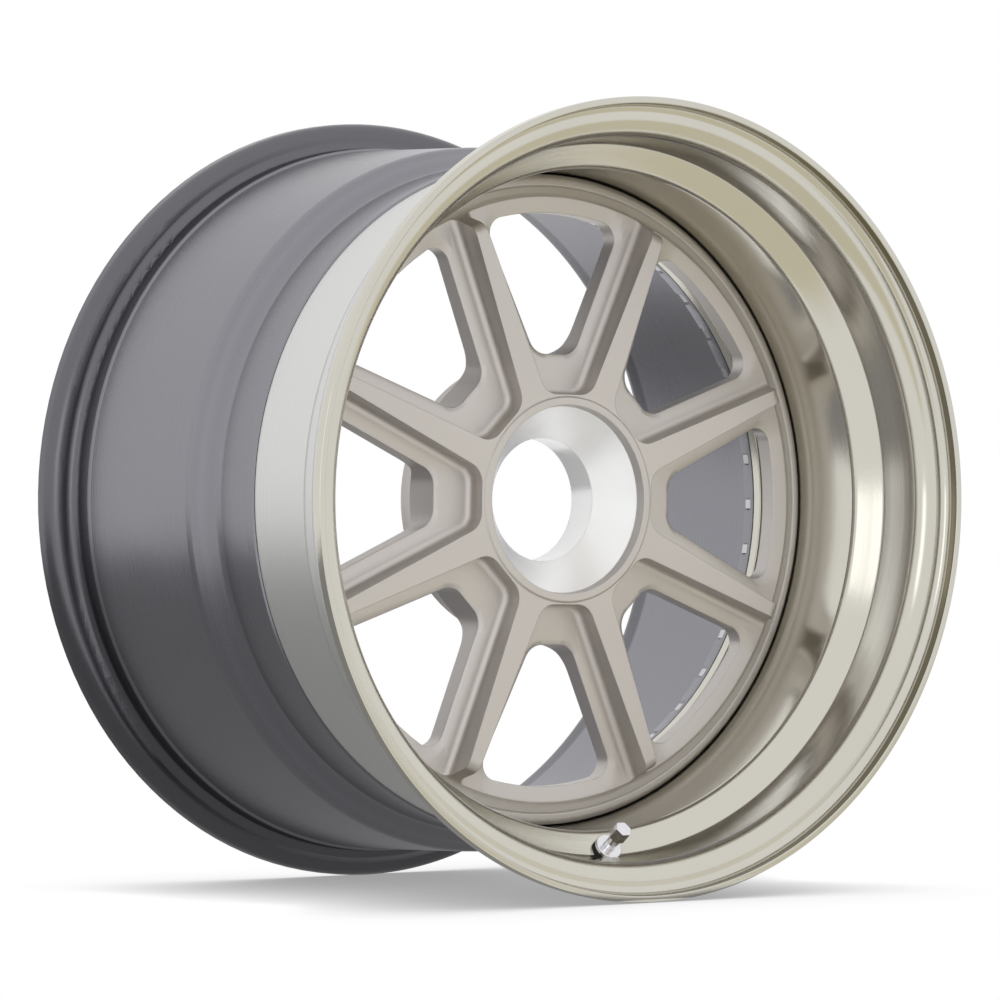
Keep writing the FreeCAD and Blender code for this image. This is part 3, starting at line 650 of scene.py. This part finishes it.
@dataclass
class OuterHalf:
    """The outer half, turned finely enough for smooth reflections."""

    section: RimSection = RimSection()
    ramp_round: float = 6.0
    seat_round: float = 14.0
    inside_round: float = 2.5
    dish_corner: float = 1.5
    bolting_r: float = 186.4
    seat: float = 31.0
    joint: float = 24.3
    seam: float = 36.6
    spigot_r: float = 210.0
    seal_corner: float = 4.44
    edge_round: float = 0.7

    def outline(self) -> np.ndarray:
        """Section of the half: lip, bead seat, ramp, dish and bolting flange."""
        cut = self.section
        lip_face = cut.face + cut.lip_wall
        return rounded([
            (cut.flange_r, cut.edge, self.edge_round),
            (cut.flange_r, cut.face, cut.curl),
            (cut.bead_r, cut.face, cut.bead_corner),
            (*cut.ramp_top, self.seat_round),
            (*cut.ramp_foot, self.ramp_round),
            (cut.dish_r + cut.wall, self.seam, self.edge_round),
            (self.spigot_r, self.seam, 0.0),
            (self.spigot_r, self.joint + self.seal_corner, 0.0),
            (self.spigot_r - self.seal_corner, self.joint, 0.0),
            (self.bolting_r, self.joint, 0.0),
            (self.bolting_r, self.seat, self.edge_round),
            (cut.dish_r, self.seat, self.dish_corner),
            (*cut.dish_foot, self.ramp_round),
            (*cut.dish_top, self.inside_round),
            (cut.inside_r + cut.lip_wall * cut.slope, lip_face, cut.lip_corner),
            (cut.lip_r, lip_face, cut.curl - cut.lip_wall),
            (cut.lip_r, cut.edge, self.edge_round),
        ])

    def build(self, finish: bpy.types.Material) -> None:
        """Makes the half and lets it stand for its CAD node.

        Args:
            finish: Finish of the half.
        """
        thing = turned_mesh("outer_half_turned", self.outline())
        thing.data.materials.append(finish)
        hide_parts("outer_rim_half")
        LOG.info("turned the outer half with %d faces", len(thing.data.polygons))


def even_normals(mesh: bpy.types.Mesh, crease: float) -> None:
    """Shades a triangle mesh smooth, with large faces kept flat.

    The normal at a triangle's corner is the sum of the normals of the triangles that meet there at less than
    the crease angle, each weighted by its area.

    Args:
        mesh: Mesh of joined triangles.
        crease: Angle in degrees above which an edge stays sharp.
    """
    corners = np.empty(len(mesh.loops), dtype=np.int64)
    mesh.loops.foreach_get("vertex_index", corners)
    normals = np.empty((len(mesh.polygons), 3))
    mesh.polygons.foreach_get("normal", normals.ravel())
    areas = np.empty(len(mesh.polygons))
    mesh.polygons.foreach_get("area", areas)
    faces = np.repeat(np.arange(len(mesh.polygons)), 3)
    order = np.argsort(corners, kind="stable")
    counts = np.bincount(corners)
    starts = np.cumsum(counts) - counts
    repeats = counts[corners]
    first = np.repeat(np.arange(len(corners)), repeats)
    within = np.arange(repeats.sum()) - np.repeat(np.cumsum(repeats) - repeats, repeats)
    second = order[np.repeat(starts[corners], repeats) + within]
    alike = (normals[faces[first]] * normals[faces[second]]).sum(1) > math.cos(math.radians(crease))
    pull = (areas[faces[second]] * alike)[:, None] * normals[faces[second]]
    total = np.stack([np.bincount(first, pull[:, axis], len(corners)) for axis in range(3)], axis=1)
    total /= np.maximum(np.linalg.norm(total, axis=1), 1e-12)[:, None]
    mesh.shade_smooth()
    mesh.normals_split_custom_set(total.tolist())


@dataclass
class SmoothCopy:
    """A CAD node's mesh, joined up and shaded smooth, for a piece with holes that can't be turned."""

    node: bpy.types.Object
    slot: str
    weld: float = 0.002 * MM
    crease: float = 28.0

    def build(self, finish: bpy.types.Material) -> bpy.types.Object:
        """Copies the node, joins its loose triangles and stands for it.

        Args:
            finish: Finish of the copy.

        Returns:
            The copy's object, at the origin.
        """
        name = self.node.name + "_smooth"
        mesh = self.node.data.copy()
        mesh.name = name
        solid = bmesh.new()
        solid.from_mesh(mesh)
        bmesh.ops.remove_doubles(solid, verts=solid.verts, dist=self.weld)
        solid.to_mesh(mesh)
        solid.free()
        even_normals(mesh, self.crease)
        mesh.materials.clear()
        mesh.materials.append(finish)
        thing = bpy.data.objects.new(name, mesh)
        bpy.context.scene.collection.objects.link(thing)
        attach(thing, "root")
        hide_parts(self.node.name)
        LOG.info("smoothed %s with %d faces", self.node.name, len(mesh.polygons))
        return thing


def dress(node: bpy.types.Object, material: bpy.types.Material) -> None:
    """Gives a CAD node one material in place of its own."""
    node.data.materials.clear()
    node.data.materials.append(material)


class Studio:
    """Pale floor, white surround, soft lamps and the camera."""

    FLOOR = -248.6 * MM
    FLAT_HEIGHT = 2.0 * MM
    SIZE = (24.0, 24.0)
    UP = (0.0, 0.0, 1.0)
    WHITE: Colour = (1.0, 1.0, 1.0, 1.0)
    SHADOW: Colour = (0.34, 0.34, 0.34, 1.0)
    SHADOW_REACH = 110.0 * MM
    SHADOW_FALL = 1.3
    SHADOW_SAMPLES = 32
    BOUNCE: Colour = (0.8, 0.8, 0.8, 1.0)
    BLACK: Colour = (0.0, 0.0, 0.0, 1.0)
    AZIMUTH = -35.738
    DISTANCE = 3588.24 * MM
    ASIDE = 1.14 * MM
    DOWN = 0.3125 * MM
    LENS = 201.85
    SENSOR = 36.0
    CLIP_END = 100.0

    def build(self) -> None:
        """Sets up everything that isn't part of the wheel."""
        self.surround()
        self.floor()
        self.painted_reflection_flats()
        self.lamps()
        self.camera()
        bpy.context.scene.view_settings.view_transform = "Standard"

    def surround(self) -> None:
        """Plain white all round."""
        world = bpy.data.worlds.new("surround")
        bpy.context.scene.world = world
        world.use_nodes = True
        back = world.node_tree.nodes["Background"]
        back.inputs["Color"].default_value = self.WHITE
        back.inputs["Strength"].default_value = 1.0

    def floor(self) -> None:
        """A white floor that keeps the soft shadow close to the wheel and runs into the white surround."""
        ground = self.card("floor", (0.0, 0.0, self.FLOOR), self.UP, self.SIZE)
        graph = Graph("floor_paint")
        samples = {"samples": self.SHADOW_SAMPLES}
        reach = {"Distance": self.SHADOW_REACH}
        open_sky = graph.node("ShaderNodeAmbientOcclusion", samples, reach, output="AO")
        shade = graph.mix(open_sky ** self.SHADOW_FALL, self.SHADOW, self.WHITE)
        seen = graph.node("ShaderNodeLightPath", output="Is Camera Ray")
        mirrored = graph.node("ShaderNodeLightPath", output="Is Glossy Ray")
        through = graph.node("ShaderNodeLightPath", output="Is Transmission Ray")
        graph.shade(base_color=self.BOUNCE, roughness=0.9, specular_ior_level=0.0)
        glow = graph.node("ShaderNodeEmission", None, {"Color": shade, "Strength": 1.0})
        body = Wire(graph, graph.shader.outputs[0])
        shown = seen.most(mirrored).most(through)
        blend = graph.node("ShaderNodeMixShader", None, {0: shown, 1: body, 2: glow})
        graph.connect(graph.surface, blend)
        ground.data.materials.append(graph.material)

    def card(self, name: str, spot: Sequence[float], facing: Sequence[float],
             size: tuple[float, float]) -> bpy.types.Object:
        """A flat rectangle of the studio.

        Args:
            name: The card's name.
            spot: Its middle, in metres.
            facing: Direction that it faces.
            size: Width and height, in metres.

        Returns:
            The card's object.
        """
        turn = Vector(facing).to_track_quat("Z", "Y")
        width, height = size[0] / 2, size[1] / 2
        flat = [(-width, -height, 0), (width, -height, 0), (width, height, 0), (-width, height, 0)]
        corners = [turn @ Vector(corner) + Vector(spot) for corner in flat]
        mesh = bpy.data.meshes.new(name)
        mesh.from_pydata(corners, [], [(0, 1, 2, 3)])
        thing = bpy.data.objects.new(name, mesh)
        bpy.context.scene.collection.objects.link(thing)
        return thing

    def painted_reflection_flats(self) -> None:
        """Glowing flats on the floor: a dark one, painted shade, and a pale warm one, painted reflection."""
        # painted shade: a dark glowing flat under the wheel, seen only in reflections
        self.flat("flat_below", middle=(-0.85, 0.45), size=(1.9, 1.3), tone=(0.30, 0.30, 0.30, 1.0))
        # painted reflection: a pale warm glowing flat in front, seen only in reflections
        self.flat("flat_front", middle=(1.2, -1.2), size=(2.4, 1.9), tone=(0.78, 0.74, 0.60, 1.0))

    def flat(self, name: str, middle: tuple[float, float], size: tuple[float, float], tone: Colour) -> None:
        """One glowing flat just above the floor that only the metal sees, as a painted reflection.

        Args:
            name: The flat's name.
            middle: Its place on the floor, in metres.
            size: Width and depth, in metres.
            tone: Colour that it paints into the metal's reflections.
        """
        flat = self.card(name, (*middle, self.FLOOR + self.FLAT_HEIGHT), self.UP, size)
        graph = Graph(name + "_paint")
        graph.shade(base_color=self.BLACK, roughness=1.0, specular_ior_level=0.0,
                    emission_color=tone, emission_strength=1.0)
        flat.data.materials.append(graph.material)
        flat.visible_camera = False
        flat.visible_diffuse = False
        flat.visible_shadow = False

    def lamps(self) -> None:
        """Large soft lamps: two for shape that no metal mirrors, and a key by the camera that it does."""
        overhead = self.lamp("overhead", spot=(0.1, -0.6, 1.9), size=1.8, power=12.0)
        left = self.lamp("left", spot=(-1.9, 0.2, 0.5), size=1.2, power=7.0)
        self.lamp("key", spot=(-1.45, -2.0, 0.35), size=0.9, power=2.2)
        overhead.visible_glossy = False
        left.visible_glossy = False

    def lamp(self, name: str, spot: tuple[float, float, float], size: float,
             power: float) -> bpy.types.Object:
        """One square lamp that faces the wheel.

        Args:
            name: The lamp's name.
            spot: Where it stands, in metres.
            size: Side of the square, in metres.
            power: Radiant power in watts.

        Returns:
            The lamp's object.
        """
        data = bpy.data.lights.new(name, "AREA")
        data.size = size
        data.energy = power
        thing = bpy.data.objects.new(name, data)
        bpy.context.scene.collection.objects.link(thing)
        thing.location = spot
        thing.rotation_mode = "QUATERNION"
        thing.rotation_quaternion = Vector(spot).to_track_quat("Z", "Y")
        return thing

    def camera(self) -> None:
        """The photograph's view: level with the axle, turned to the wheel's left."""
        turn = math.radians(self.AZIMUTH)
        back = Vector((math.sin(turn), -math.cos(turn), 0.0))
        right = Vector((math.cos(turn), math.sin(turn), 0.0))
        data = bpy.data.cameras.new("camera")
        data.sensor_width = self.SENSOR
        data.lens = self.LENS
        data.clip_end = self.CLIP_END
        thing = bpy.data.objects.new("camera", data)
        bpy.context.scene.collection.objects.link(thing)
        thing.location = back * self.DISTANCE - right * self.ASIDE - Vector(self.UP) * self.DOWN
        thing.rotation_mode = "QUATERNION"
        thing.rotation_quaternion = back.to_track_quat("Z", "Y")
        bpy.context.scene.camera = thing


def main() -> None:
    """Builds the wheel's looks in order and reports each piece."""
    logging.basicConfig(level=logging.INFO)
    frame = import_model()
    nodes = frame["nodes"]
    outer = OuterHalfFinish().build()
    inner = InnerHalfFinish().build()
    centre = CentreFinish().build()
    steel = PlatedFinish("bolt_plating", from_display(205, 205, 205), 0.25).build()
    chrome = PlatedFinish("valve_plating", from_display(232, 232, 235), 0.08).build()
    brass = PlatedFinish("core_brass", from_display(205, 180, 110), 0.3).build()
    rubber = RubberFinish().build()
    finishes = {
        "outer_rim_half": outer, "inner_rim_half": inner, "wheel_centre": centre, "assembly_bolts": steel,
        "rim_seal": rubber, "valve_stem": chrome, "valve_inner_grommet": rubber,
        "valve_outer_grommet": rubber, "valve_collar": chrome, "valve_core": brass, "valve_cap": chrome,
    }
    for name, material in finishes.items():
        dress(nodes[name], material)
        LOG.info("dressed %s", name)
    OuterHalf().build(outer)
    SmoothCopy(nodes["inner_rim_half"], "inner_half").build(inner)
    SmoothCopy(nodes["wheel_centre"], "centre").build(centre)
    Studio().build()


if __name__ == "__main__":
    main()
